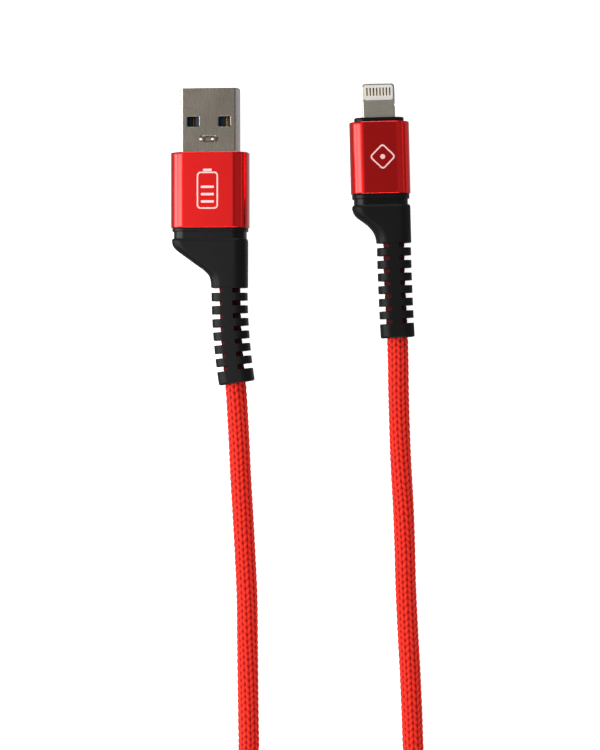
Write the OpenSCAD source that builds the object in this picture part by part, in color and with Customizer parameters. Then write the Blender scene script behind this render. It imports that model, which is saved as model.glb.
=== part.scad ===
// Braided charging cable: a type-A plug at one end, a reversible phone plug at the
// other, each with a metal housing and a slotted rubber boot, and the cord between.
// Both plugs lie with their tips towards +Y. Units are millimetres, +Z is up, and
// the surface that the cable lies on is z = 0.

/* [Cord] */
// Outside diameter of the braided cord
cord_d = 4.4; // [4.2:0.1:4.5]
// Diameter of the plastic jacket inside the braid
jacket_d = 3.5; // [3.2:0.1:3.5]
// Diameter of one insulated wire
wire_d = 0.85; // [0.6:0.05:0.9]

/* [Type-A plug] */
// Width of the housing
a_housing_w = 16; // [15.5:0.1:17]
// Length of the housing
a_housing_l = 15.5; // [15.3:0.1:17]
// Thickness of the housing
a_housing_t = 8; // [8:0.1:8.4]
// Width of the steel shell
a_shell_w = 12; // [11.9:0.05:12.1]
// Thickness of the steel shell
a_shell_t = 4.5; // [4.4:0.05:4.6]
// Length of shell that stands out of the housing
a_shell_out = 13.2; // [12.5:0.1:13.5]
// How far the cord's axis lies to the side of the plug's axis
a_cord_x = 4; // [3.6:0.1:4.1]
// Sideways roll of the plug as it lies on the surface, in degrees
a_roll = 7; // [0:1:10]

/* [Phone plug] */
// Width of the housing
p_housing_w = 12.3; // [12:0.1:13]
// Length of the housing
p_housing_l = 14.8; // [14.6:0.1:16]
// Thickness of the housing
p_housing_t = 7; // [7:0.1:7.6]
// Width of the tab
p_tab_w = 6.7; // [6.6:0.05:6.8]
// Thickness of the tab
p_tab_t = 1.5; // [1.45:0.05:1.6]
// Length of tab that stands out of the front collar
p_tab_out = 7.2; // [6.8:0.1:7.4]
// How far the cord's axis lies to the side of the plug's axis
p_cord_x = 2.45; // [2.2:0.05:2.5]
// Turn of the plug about the vertical as it lies, in degrees
p_turn = 1.4; // [0:0.1:3]

/* [Boots] */
// Number of slots along each boot
slots = 7; // [5:1:8]
// Width of one slot along the boot
slot_w = 1.03; // [0.8:0.01:1.1]
// Width of the spine that joins the ribs, front and back
spine_w = 2; // [1.6:0.1:2.4]
// Diameter of the channel that the cord runs in
channel_d = 4.8; // [4.7:0.05:4.9]

/* [Stored length] */
// Mean radius of the outermost turn
coil_r = 28.4; // [27:0.1:30]

/* [Hidden] */

$fn = 48;
gap = 0.05;      // clearance between pieces that are pushed together
past = 1;        // how far a cutter runs past the face that it opens

// Where the plugs lie: the rear centre of each housing. The type-A plug's roll
// lifts its axis so that the lower edge of its housing just meets z = 0.
housing_r = 3;
a_pos = [-17, 1.2,
         (a_housing_w / 2 - housing_r) * sin(a_roll)
         + (a_housing_t / 2 - housing_r) * cos(a_roll) + housing_r];
p_pos = [18.1, 8.3, p_housing_t / 2];

// Type-A plug, along its own +Y from the rear face of the housing
wall = 1;
a_front_wall = 0.8;
shell_wall = 0.3;
shell_r = 0.7;
shell_rear = 9;
shell_tip = a_housing_l + a_shell_out;
window_w = 2.5;
window_l = 2.2;
window_x = 3.25;
window_y = shell_tip - 8;
tongue_w = a_shell_w - 2 * shell_wall;
tongue_t = 1.95;
tongue_floor = -(a_shell_t / 2 - shell_wall);
tongue_top = tongue_floor + tongue_t;
tongue_rear = 10;
block_front = 12;
tongue_front = shell_tip - 1;
contact_w = 1;
contact_t = 0.25;
a_contacts = [[-3.5, 1.2], [-1, 2.2], [1, 2.2], [3.5, 1.2]];  // x, set-back
tail_rear = 9;
collar_flange = 0.75;
a_neck_end = -2.2;
a_rib_start = -12.3;
a_rib_w = 7.2;
a_rib_t = 6.6;
a_rib_pitch = 2.65;
a_bend_r = 125;
a_bend = 9;

// Phone plug, along its own +Y from the rear face of the housing
p_front_wall = 0.8;
front_collar_l = 0.9;
tab_root = p_housing_l + front_collar_l;
tab_tip = tab_root + p_tab_out;
tab_rear = 12.2;
tab_r = 0.9;
block_w = 6.1;
block_l = 3.2;
block_y = tab_tip - 0.35 - block_l;
pin_pitch = 0.67;
pin_w = 0.4;
pin_l = 1.67;
pin_t = 0.2;
pin_y = block_y + 0.9;
board_w = 8.6;
board_t = 0.6;
board_rear = 4.8;
p_flange = 1.05;
p_neck_end = -2.3;
p_rib_start = -10.15;
p_rib_w = 7;
p_rib_t = 6;
p_rib_pitch = 2.6;
p_bend_r = 560;
p_bend = 2;

// Crimp ferrules
crimp_t = 0.35;

// The cord's route on the way from each plug to the coil, chosen by hand
type_a_route = [
    [-13, -1.4, 5.1], [-13, -8, 5.1], [-12.9, -15, 5.1], [-12.6, -22, 5.1],
    [-12.1, -28, 5.2], [-11.7, -32, 5.1], [-11.4, -37, 4.6], [-11.1, -43, 3.6],
    [-10.8, -50, 2.6], [-10.4, -57, 2.2], [-9.9, -66, 2.2], [-9.5, -75, 2.2],
    [-9.4, -84, 2.2], [-9.3, -93, 2.2], [-9.2, -101, 2.2], [-9.2, -107, 2.2],
    [-10.3, -114.6, 2.3], [-13.5, -121.7, 2.4], [-18.9, -127.3, 2.6]
];
phone_route = [
    [20.6, 5.5, 3.5], [20.8, -1.8, 3.5], [20.9, -8, 3.5], [21.2, -14, 3.5],
    [21.5, -20, 3.5], [21.7, -26, 3.3], [21.8, -32, 2.8], [22, -39, 2.3],
    [22.3, -47, 2.2], [22.8, -56, 2.2], [23.1, -64, 2.2], [23.3, -72, 2.2],
    [23.7, -81, 2.2], [24.2, -90, 2.2], [24.6, -99, 2.2], [24.9, -107, 2.2],
    [25.5, -114, 2.2], [27.3, -121, 2.2], [30.2, -127.5, 2.2], [33.1, -134, 2.2],
    [34.9, -141, 2.2], [35.5, -148, 2.4], [34.5, -154, 2.8], [32.4, -159.6, 3.4],
    [29.3, -164.6, 4.3], [25.3, -168.8, 5.2], [20.8, -172.1, 6.1]
];
cord_sides = 10;

// The coil: turns a cord's diameter apart, in two layers, held up by its tie
coil_pos = [0.5, -148, 0];
tie_t = 0.6;
coil_inner = coil_r - 2.5 * cord_d - 0.2;
coil_outer = coil_r + cord_d / 2 + 0.2;
coil_top = tie_t + 2 * cord_d + 0.2;
tie_span = 20;

// Outline of a rectangle w by t with its corners rounded to r
function rounded(w, t, r, steps = 5) = [
    for (corner = [0:3], i = [0:steps])
        let (a = 90 * (corner + i / steps),
             sx = corner == 0 || corner == 3 ? 1 : -1,
             sy = corner < 2 ? 1 : -1)
        [sx * (w / 2 - r) + r * cos(a), sy * (t / 2 - r) + r * sin(a)]
];

// Direction of a route at point i, and the ring of points round it there
function unit(v) = v / norm(v);
function heading(route, i) =
    unit(route[min(i + 1, len(route) - 1)] - route[max(i - 1, 0)]);
function ring(route, i, r, n) =
    let (t = heading(route, i), side = unit(cross(t, [0, 0, 1])), up = cross(side, t))
    [for (k = [0:n - 1])
        route[i] + r * (cos(360 * k / n) * side + sin(360 * k / n) * up)];

// A tube swept along a route's own points, one ring at each
module tube(route, d, n) {
    m = len(route);
    points = [for (i = [0:m - 1]) each ring(route, i, d / 2, n)];
    ends = [[for (k = [0:n - 1]) k],
            [for (k = [n - 1:-1:0]) (m - 1) * n + k]];
    sides = [for (i = [0:m - 2], k = [0:n - 1])
        let (next = (k + 1) % n)
        [i * n + k, (i + 1) * n + k, (i + 1) * n + next, i * n + next]];
    polyhedron(points, concat(ends, sides));
}

// Stands a flat outline up and extrudes it along +Y from y
module along_y(y, length) {
    translate([0, y, 0]) rotate([-90, 0, 0]) linear_extrude(length) children();
}

module rod(x, y, length, d) {
    translate([x, y, 0]) rotate([-90, 0, 0]) cylinder(d = d, h = length);
}

module block_at(x, y, z, size) {
    translate([x - size[0] / 2, y, z]) cube(size);
}

// A wire through a list of points
module wire(points) {
    tube(points, wire_d, 8);
}

module on_type_a() {
    translate(a_pos) rotate([0, -a_roll, 0]) children();
}

module on_phone() {
    translate(p_pos) rotate([0, 0, p_turn]) children();
}

// Sleeve of a housing: a cavity from the rear, and a front wall with an opening
module housing(w, l, t, front, opening_w, opening_t, opening_r) {
    difference() {
        along_y(0, l) polygon(rounded(w, t, housing_r));
        along_y(-past, l - front + past)
            polygon(rounded(w - 2 * wall, t - 2 * wall, housing_r - wall));
        along_y(l - front - past, front + 2 * past)
            polygon(rounded(opening_w, opening_t, opening_r));
    }
}

// Closing ring behind a housing: a spigot inside it, a flange and a neck
module rear_collar(w, t, flange, neck_end, x) {
    difference() {
        union() {
            along_y(-gap, 1.2 + gap)
                polygon(rounded(w - 2 * wall - 2 * gap, t - 2 * wall - 2 * gap, housing_r - wall));
            along_y(-flange, flange) polygon(rounded(w - 0.5, t - 0.4, housing_r - 0.2));
            along_y(neck_end, -neck_end - flange + gap)
                polygon(rounded(w - 1.2, t - 1.2, housing_r - 0.6));
        }
        rod(x, neck_end - past, 1.2 - neck_end + 2 * past, jacket_d + 2 * gap);
    }
}

// Ribbed end of a boot, bent towards +X round a centre to its right
module ribbed(x, y, w, t, bend_r, bend, pitch) {
    side_l = (w - spine_w) / 2 + past;
    translate([x + bend_r, y, 0]) difference() {
        rotate([0, 0, 180]) rotate_extrude(angle = bend, $fn = 360)
            translate([bend_r, 0]) polygon(rounded(w, t, 2.2, 3));
        rotate([0, 0, 180 - 0.2]) rotate_extrude(angle = bend + 0.4, $fn = 360)
            translate([bend_r, 0]) circle(d = channel_d);
        for (i = [0:slots - 1], side = [-1, 1])
            rotate([0, 0, (i * pitch + slot_w / 2) * 180 / PI / bend_r])
                translate([-bend_r + side * (spine_w + side_l) / 2, 0, 0])
                    cube([side_l, slot_w, t + past], center = true);
    }
}

// Shoulder of a boot: its outline from above, thinned towards the ribs
module shoulder(outline, t, rib_t, x, neck_end, rib_start, w) {
    difference() {
        intersection() {
            translate([0, 0, -t / 2]) linear_extrude(t) polygon(outline);
            translate([-w, 0, 0]) rotate([0, 90, 0]) linear_extrude(2 * w)
                polygon([[t / 2, neck_end + past], [t / 2, neck_end - 1.5],
                         [rib_t / 2 + 0.1, rib_start], [rib_t / 2 + 0.1, rib_start - past],
                         [-rib_t / 2 - 0.1, rib_start - past], [-rib_t / 2 - 0.1, rib_start],
                         [-t / 2, neck_end - 1.5], [-t / 2, neck_end + past]]);
        }
        rod(x, rib_start - past, neck_end - rib_start + 2 * past, channel_d + 0.1);
    }
}

module type_a_shell() {
    color("gainsboro") on_type_a() difference() {
        along_y(shell_rear, shell_tip - shell_rear)
            polygon(rounded(a_shell_w, a_shell_t, shell_r));
        along_y(shell_rear - past, shell_tip - shell_rear + 2 * past)
            polygon(rounded(tongue_w, a_shell_t - 2 * shell_wall, shell_r - shell_wall));
        for (x = [-window_x, window_x])
            block_at(x, window_y, -a_shell_t, [window_w, window_l, 2 * a_shell_t]);
    }
}

module type_a_tongue() {
    inner_t = a_shell_t - 2 * shell_wall;
    color("midnightblue") on_type_a() difference() {
        union() {
            block_at(0, tongue_rear, tongue_floor, [tongue_w - 0.8, tongue_front - tongue_rear, tongue_t]);
            along_y(tongue_rear, block_front - tongue_rear)
                polygon(rounded(tongue_w, inner_t, shell_r - shell_wall));
        }
        for (c = a_contacts)
            block_at(c[0], tail_rear, tongue_top - contact_t,
                     [contact_w, tongue_front - c[1] - tail_rear, contact_t]);
        for (c = a_contacts)
            block_at(c[0], block_front, tongue_top - contact_t,
                     [contact_w, tongue_front - c[1] - block_front, contact_t + past]);
    }
}

module type_a_contacts() {
    color("gold") on_type_a()
        for (c = a_contacts)
            block_at(c[0], tail_rear, tongue_top - contact_t,
                     [contact_w, tongue_front - c[1] - tail_rear, contact_t]);
}

module type_a_inner_mould() {
    color("ivory") on_type_a() difference() {
        along_y(1.25, a_housing_l - a_front_wall - 1.25 - gap)
            polygon(rounded(a_housing_w - 2 * wall - 2 * gap,
                            a_housing_t - 2 * wall - 2 * gap, housing_r - wall));
        along_y(shell_rear, a_housing_l) polygon(rounded(a_shell_w, a_shell_t, shell_r));
        block_at(0.5, 5.6, -1.6, [10.6, tongue_rear - 5.6, 3.2]);
        rod(a_cord_x, 0, 5.65, jacket_d + 2 * crimp_t);
    }
}

module type_a_housing() {
    color("crimson") on_type_a()
        housing(a_housing_w, a_housing_l, a_housing_t, a_front_wall,
                a_shell_w + 2 * gap, a_shell_t + 2 * gap, shell_r);
}

module type_a_rear_collar() {
    color("black") on_type_a()
        rear_collar(a_housing_w, a_housing_t, collar_flange, a_neck_end, a_cord_x);
}

module type_a_boot() {
    left = a_cord_x - a_rib_w / 2;
    right = a_cord_x + a_rib_w / 2 + 0.1;
    color("dimgray") on_type_a() union() {
        shoulder([[-7.9, a_neck_end], [-7.7, -3.7], [-7.2, -4.4], [left - 0.9, -9.2],
                  [left - 0.3, -10.2], [left - 0.1, -11.4], [left - 0.1, a_rib_start],
                  [right, a_rib_start], [right, a_neck_end]],
                 a_housing_t - 0.9, a_rib_t, a_cord_x, a_neck_end, a_rib_start, a_housing_w);
        ribbed(a_cord_x, a_rib_start, a_rib_w, a_rib_t, a_bend_r, a_bend, a_rib_pitch);
    }
}

module crimp(x) {
    difference() {
        rod(x, 1.4, 3.8, jacket_d + 2 * crimp_t - gap);
        rod(x, 1.4 - past, 3.8 + 2 * past, jacket_d);
    }
}

module type_a_crimp() {
    color("silver") on_type_a() crimp(a_cord_x);
}

module type_a_inner_jacket() {
    color("whitesmoke") on_type_a() rod(a_cord_x, -2.6, 8.2, jacket_d);
}

// Where the four wires leave the jacket, as offsets across it
wire_off = 0.6;
wire_z = tongue_top + wire_d / 2 + gap;

module type_a_wire_red() {
    color("red") on_type_a()
        wire([[a_cord_x + wire_off, 5.6, wire_off], [a_cord_x + wire_off, 6.4, wire_off],
              [3.5, 8.4, wire_z], [3.5, 9.8, wire_z]]);
}

module type_a_wire_white() {
    color("white") on_type_a()
        wire([[a_cord_x - wire_off, 5.6, wire_off], [a_cord_x - wire_off, 6.2, wire_off],
              [1, 8.4, wire_z], [1, 9.8, wire_z]]);
}

module type_a_wire_green() {
    color("green") on_type_a()
        wire([[a_cord_x + wire_off, 5.6, -wire_off], [a_cord_x + wire_off, 6.8, -wire_off],
              [-1, 7.8, -wire_off - 0.2], [-1, 8.5, wire_z], [-1, 9.8, wire_z]]);
}

module type_a_wire_black() {
    color("black") on_type_a()
        wire([[a_cord_x - wire_off, 5.6, -wire_off], [-3.5, 6.6, -wire_off],
              [-3.5, 8.4, wire_z], [-3.5, 9.8, wire_z]]);
}

module phone_tab_frame() {
    color("silver") on_phone() difference() {
        union() {
            translate([0, 0, -p_tab_t / 2]) linear_extrude(p_tab_t)
                translate([0, (tab_rear + tab_tip) / 2])
                    polygon(rounded(p_tab_w, tab_tip - tab_rear, tab_r));
            block_at(0, tab_rear, -p_tab_t / 2, [p_tab_w, 2, p_tab_t]);
        }
        block_at(0, block_y, -p_tab_t, [block_w, block_l, 2 * p_tab_t]);
        for (x = [-p_tab_w / 2 - 0.3, p_tab_w / 2 + 0.3])
            translate([x, tab_root + 2.6, -p_tab_t]) cylinder(d = 1.2, h = 2 * p_tab_t);
    }
}

module phone_pins() {
    for (i = [0:7], z = [-p_tab_t / 2, p_tab_t / 2 - pin_t])
        block_at((i - 3.5) * pin_pitch, pin_y, z, [pin_w, pin_l, pin_t]);
}

module phone_contact_block() {
    color("white") on_phone() difference() {
        block_at(0, block_y, -p_tab_t / 2, [block_w, block_l, p_tab_t]);
        phone_pins();
    }
}

module phone_contacts() {
    color("gold") on_phone() phone_pins();
}

module phone_board() {
    color("darkgreen") on_phone()
        block_at(0, board_rear, -board_t / 2, [board_w, tab_rear - board_rear, board_t]);
}

module phone_chip() {
    color("black") on_phone() block_at(-1.2, 8, board_t / 2, [3, 3, 0.8]);
}

module phone_shield_can() {
    color("lightgray") on_phone() difference() {
        block_at(-1.2, 7.2, board_t / 2, [4.6, 4.6, 1.3]);
        block_at(-1.2, 7.4, board_t / 2 - past, [4.2, 4.2, 1.1 + past]);
    }
}

module phone_capacitors() {
    color("tan") on_phone()
        for (i = [0:2]) block_at(-3 + 1.6 * i, 9, -board_t / 2 - 0.5, [0.6, 1.1, 0.5]);
}

module phone_inner_mould() {
    color("ivory") on_phone() difference() {
        along_y(1.25, p_housing_l - p_front_wall - 1.25 - gap)
            polygon(rounded(p_housing_w - 2 * wall - 2 * gap,
                            p_housing_t - 2 * wall - 2 * gap, housing_r - wall));
        block_at(0, 3.8, -1.8, [board_w, 12.9 - 3.8, 3.6]);
        block_at(0, 12, -2, [8.6, 4, 4]);
        rod(p_cord_x, 0, 4, jacket_d + 2 * crimp_t);
    }
}

module phone_front_collar() {
    color("black") on_phone() difference() {
        union() {
            along_y(p_housing_l, front_collar_l) polygon(rounded(10.2, 5.4, 2));
            along_y(13, p_housing_l - 13 + gap) polygon(rounded(8.3, 3.8, 1.2));
        }
        block_at(0, 13 - past, -p_tab_t / 2, [p_tab_w, 4, p_tab_t]);
    }
}

module phone_housing() {
    color("crimson") on_phone()
        housing(p_housing_w, p_housing_l, p_housing_t, p_front_wall, 8.4, 3.9, 1.2);
}

module phone_rear_collar() {
    color("black") on_phone()
        rear_collar(p_housing_w, p_housing_t, p_flange, p_neck_end, p_cord_x);
}

module phone_boot() {
    left = p_cord_x - p_rib_w / 2;
    right = p_cord_x + p_rib_w / 2 + 0.1;
    color("dimgray") on_phone() union() {
        shoulder([[-6, p_neck_end], [-6, -3.2], [-5.4, -4.6], [-3.5, -5.9], [-2.2, -7.1],
                  [left - 0.4, -8.3], [left - 0.1, -9.6], [left - 0.1, p_rib_start],
                  [right, p_rib_start], [right, p_neck_end]],
                 p_housing_t - 0.8, p_rib_t, p_cord_x, p_neck_end, p_rib_start, p_housing_w);
        ribbed(p_cord_x, p_rib_start, p_rib_w, p_rib_t, p_bend_r, p_bend, p_rib_pitch);
    }
}

module phone_crimp() {
    color("silver") on_phone() difference() {
        rod(p_cord_x, 1.4, 2.3, jacket_d + 2 * crimp_t - gap);
        rod(p_cord_x, 1.4 - past, 2.3 + 2 * past, jacket_d);
    }
}

module phone_inner_jacket() {
    color("whitesmoke") on_phone() rod(p_cord_x, -2.8, 6.8, jacket_d);
}

// One wire to a pad on the board: side -1 or 1 across, face -1 or 1 under or over it
module phone_wire(side, face) {
    rest = face * (board_t / 2 + wire_d / 2 + gap);
    wire([[p_cord_x + side * wire_off, 4, face * wire_off],
          [p_cord_x + side * wire_off, 4.4, face * wire_off],
          [p_cord_x + side * wire_off * 1.1, 4.9, rest],
          [p_cord_x + side * wire_off * 1.1, 6.6, rest]]);
}

module phone_wire_red() {
    color("red") on_phone() phone_wire(1, 1);
}

module phone_wire_white() {
    color("white") on_phone() phone_wire(-1, 1);
}

module phone_wire_green() {
    color("green") on_phone() phone_wire(1, -1);
}

module phone_wire_black() {
    color("black") on_phone() phone_wire(-1, -1);
}

// Space that the coil's solid takes, which the tubes stop at
module coil_space() {
    translate(coil_pos) cylinder(r = coil_outer, h = 2 * coil_top);
}

module cord_type_a_side() {
    color("red") difference() {
        tube(type_a_route, cord_d, cord_sides);
        coil_space();
    }
}

module cord_phone_side() {
    color("red") difference() {
        tube(phone_route, cord_d, cord_sides);
        coil_space();
    }
}

module cord_coil() {
    color("red") translate(coil_pos) rotate_extrude()
        translate([coil_inner, tie_t]) square([coil_outer - coil_inner, coil_top - tie_t]);
}

module coil_tie() {
    color("black") translate(coil_pos) rotate([0, 0, 270 - tie_span / 2])
        rotate_extrude(angle = tie_span) difference() {
            translate([coil_inner - tie_t, 0])
                square([coil_outer - coil_inner + 2 * tie_t, coil_top + tie_t]);
            translate([coil_inner, tie_t]) square([coil_outer - coil_inner, coil_top - tie_t]);
        }
}

type_a_shell();
type_a_tongue();
type_a_contacts();
type_a_inner_mould();
type_a_housing();
type_a_rear_collar();
type_a_boot();
type_a_crimp();
type_a_inner_jacket();
type_a_wire_red();
type_a_wire_white();
type_a_wire_green();
type_a_wire_black();
phone_tab_frame();
phone_contact_block();
phone_contacts();
phone_board();
phone_chip();
phone_shield_can();
phone_capacitors();
phone_inner_mould();
phone_front_collar();
phone_housing();
phone_rear_collar();
phone_boot();
phone_crimp();
phone_inner_jacket();
phone_wire_red();
phone_wire_white();
phone_wire_green();
phone_wire_black();
cord_type_a_side();
cord_phone_side();
cord_coil();
coil_tie();
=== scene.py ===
# %% [markdown]
# # A braided charging cable
# The cable has a type-A plug at one end and a small phone plug at the other. Each plug is a
# red anodised sleeve with a slotted rubber boot behind it, and a red braided cord joins them.
# The solid parts were drawn in CAD first. Here each of them is either given a real finish or
# rebuilt with the edges, pressings and weave that a CAD solid leaves out.

import math

import bmesh
import bpy
import numpy as np
from mathutils import Matrix, Vector, geometry


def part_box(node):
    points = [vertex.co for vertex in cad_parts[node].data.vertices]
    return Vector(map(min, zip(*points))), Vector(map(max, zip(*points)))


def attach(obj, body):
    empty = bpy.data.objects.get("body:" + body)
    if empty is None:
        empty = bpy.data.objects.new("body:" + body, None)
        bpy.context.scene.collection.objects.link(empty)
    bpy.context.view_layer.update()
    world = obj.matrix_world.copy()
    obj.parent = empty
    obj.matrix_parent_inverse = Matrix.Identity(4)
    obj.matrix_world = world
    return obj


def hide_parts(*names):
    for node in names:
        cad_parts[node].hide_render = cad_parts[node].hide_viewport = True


MM = 0.001
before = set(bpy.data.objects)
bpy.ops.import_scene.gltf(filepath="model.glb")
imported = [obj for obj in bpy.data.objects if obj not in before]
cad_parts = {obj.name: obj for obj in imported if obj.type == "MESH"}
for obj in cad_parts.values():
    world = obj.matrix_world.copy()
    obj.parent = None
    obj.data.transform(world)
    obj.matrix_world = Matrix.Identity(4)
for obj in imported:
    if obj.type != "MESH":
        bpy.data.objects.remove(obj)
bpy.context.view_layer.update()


# %% [markdown]
# ## A few small helpers
# Designers pick colours as sRGB hex values, but Blender's sockets take linear light, so one
# function converts them. A second one adds a shader node with its settings and its links in a
# single call. A third starts a material with its shader, and a fourth links finished nodes to
# that shader, which keeps every material below short enough to read.

# %% Colours and nodes
def linear(hex_colour):
    """An sRGB hex colour as the linear RGBA values that a socket takes."""
    channels = [int(hex_colour[i:i + 2], 16) / 255 for i in (1, 3, 5)]
    return [c / 12.92 if c <= 0.04045 else ((c + 0.055) / 1.055) ** 2.4 for c in channels] + [1.0]


def add_node(tree, kind, inputs=None, tones=(), **properties):
    """One node, with its properties set and each input given a value or a link.
    The tones are the colours at the low and the high end of a colour ramp."""
    node = tree.nodes.new(kind)
    for name, value in properties.items():
        setattr(node, name, value)
    for name, value in (inputs or {}).items():
        if isinstance(value, bpy.types.NodeSocket):
            tree.links.new(value, node.inputs[name])
        else:
            node.inputs[name].default_value = value
    for end, tone in enumerate(tones):
        node.color_ramp.elements[end].color = linear(tone)
    return node


def new_material(name, **inputs):
    """A material with one Principled shader, whose constant inputs are set on the shader."""
    material = bpy.data.materials.new(name)
    material.use_nodes = True
    tree = material.node_tree
    tree.nodes.clear()
    named = {key.replace("_", " "): value for key, value in inputs.items()}
    shader = add_node(tree, "ShaderNodeBsdfPrincipled", named)
    add_node(tree, "ShaderNodeOutputMaterial", {"Surface": shader.outputs["BSDF"]})
    return material, tree, shader


def feed(shader, **nodes):
    """Link the first output of each node to the shader's input of that name."""
    for name, node in nodes.items():
        shader.id_data.links.new(node.outputs[0], shader.inputs[name.replace("_", " ")])


print("red as linear light:", [round(c, 3) for c in linear("#d41920")])


# %% [markdown]
# ## The camera
# The cable is seen from straight above, as things are when they are laid out on a table to be
# sorted. A long lens from 60 cm up shows 155 mm of table, so both plugs and the first stretch
# of cord fill the view, and their sides hardly show.

# %% Camera over the plugs
def put_in_scene(name, data):
    """A new object that shows this mesh, light or camera."""
    thing = bpy.data.objects.new(name, data)
    bpy.context.scene.collection.objects.link(thing)
    return thing


type_a_low, type_a_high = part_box("type_a_housing")
phone_low, phone_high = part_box("phone_housing")
plugs_middle = (type_a_high.x + type_a_low.x + phone_high.x + phone_low.x) / 4
camera_data = bpy.data.cameras.new("camera")
camera_data.lens = 138.8
camera = put_in_scene("camera", camera_data)
camera.location = (plugs_middle + 0.0010, type_a_low.y - 0.0302, 0.600)
bpy.context.scene.camera = camera
print("camera at", [round(v, 4) for v in camera.location])

# %% [markdown]
# ## The table top and the light
# The table is a sheet of matt white paper with light coming through it, so hardly any shadow
# is left on it. Polished and anodised metal shows what stands around it, so the look of both
# plugs comes from where the soft boxes stand. Two strong ones on the left, one high and one
# low, draw the wide band down each sleeve, and a thin one on the right draws a fine line. A
# near one and a far one light the round cord evenly from both of its ends. Two faint ones
# overhead keep a flat face just off black. The paper itself is kept out of reflections, and a
# softer glow of the room stands in for it, so that every sleeve keeps a dark outline against
# the white.

# %% White paper, lit from below
paper, tree, shader = new_material("lit_white_paper", Roughness=0.9, Specular_IOR_Level=0.2)
fibre = add_node(tree, "ShaderNodeTexNoise", {"Scale": 400.0, "Detail": 3.0})
tint = add_node(tree, "ShaderNodeValToRGB", {"Fac": fibre.outputs["Fac"]},
                tones=("#dcdcdc", "#e6e6e6"))
feed(shader, Base_Color=tint)
shader.inputs["Emission Color"].default_value = linear("#ffffff")
shader.inputs["Emission Strength"].default_value = 0.80


def mesh_from(name, bm):
    """The mesh that a finished bmesh holds, with the bmesh freed."""
    mesh = bpy.data.meshes.new(name)
    bm.to_mesh(mesh)
    bm.free()
    return mesh


bm = bmesh.new()
# The paper lies a twentieth of a millimetre low, so that nothing flickers where parts rest.
corners = [bm.verts.new((x, y, -0.05 * MM)) for x, y in ((-3, -3), (3, -3), (3, 3), (-3, 3))]
bm.faces.new(corners)
table_mesh = mesh_from("table_top", bm)
table_mesh.materials.append(paper)
table_top = put_in_scene("table_top", table_mesh)
table_top.visible_glossy = False
print("table top at", table_mesh.vertices[0].co.z / MM, "mm")


# %% Soft boxes and the room
def soft_box(name, place, width, height, watts):
    """A rectangular soft box that faces the plugs, with its width level."""
    light = bpy.data.lights.new(name, "AREA")
    light.shape = "RECTANGLE"
    light.size = width
    light.size_y = height
    light.energy = watts
    lamp = put_in_scene(name, light)
    lamp.location = place
    aim = Vector((plugs_middle, 0.0, 0.005)) - lamp.location
    lamp.rotation_euler = aim.to_track_quat("-Z", "Y").to_euler()


soft_box("box_high_left", (-0.46, -0.01, 0.46), 0.22, 0.34, 2.5)
soft_box("box_low_left", (-0.60, -0.01, 0.12), 0.22, 0.30, 2.15)
soft_box("box_above_left", (-0.22, -0.01, 0.70), 0.50, 0.30, 0.19)
soft_box("box_right", (0.52, -0.01, 0.25), 0.60, 0.04, 0.09)
soft_box("box_above_right", (0.38, -0.01, 0.62), 0.50, 0.50, 0.10)
soft_box("box_near", (0.0, -0.75, 0.40), 0.60, 0.30, 3.4)
soft_box("box_far", (0.0, 0.75, 0.40), 0.60, 0.30, 3.4)

# How strongly the room glows: from above, from far below, from just below level, and as the
# eye sees it past the paper's edge, where it runs out into plain white.
ROOM_LIGHT, GLOW_DEEP, GLOW_LEVEL, ROOM_SEEN = 0.29, 0.48, 0.85, 0.95
world = bpy.data.worlds.new("room")
world.use_nodes = True
tree = world.node_tree
direction = add_node(tree, "ShaderNodeTexCoord")
up_part = add_node(tree, "ShaderNodeSeparateXYZ", {"Vector": direction.outputs["Generated"]})
glow = add_node(tree, "ShaderNodeMapRange", {"Value": up_part.outputs["Z"], "From Min": -0.45,
                                             "From Max": 0.0, "To Min": GLOW_DEEP,
                                             "To Max": GLOW_LEVEL})
upper = add_node(tree, "ShaderNodeMath", {0: up_part.outputs["Z"], 1: -0.02},
                 operation="GREATER_THAN")
around_plugs = add_node(tree, "ShaderNodeMix", {0: upper.outputs[0], 2: glow.outputs["Result"],
                                                3: ROOM_LIGHT})
ray = add_node(tree, "ShaderNodeLightPath")
seen = add_node(tree, "ShaderNodeMix", {0: ray.outputs["Is Camera Ray"],
                                        2: around_plugs.outputs[0], 3: ROOM_SEEN})
tree.links.new(seen.outputs[0], tree.nodes["Background"].inputs["Strength"])
tree.nodes["Background"].inputs["Color"].default_value = linear("#e6e8ea")
bpy.context.scene.world = world
bpy.context.scene.view_settings.view_transform = "Standard"
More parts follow.
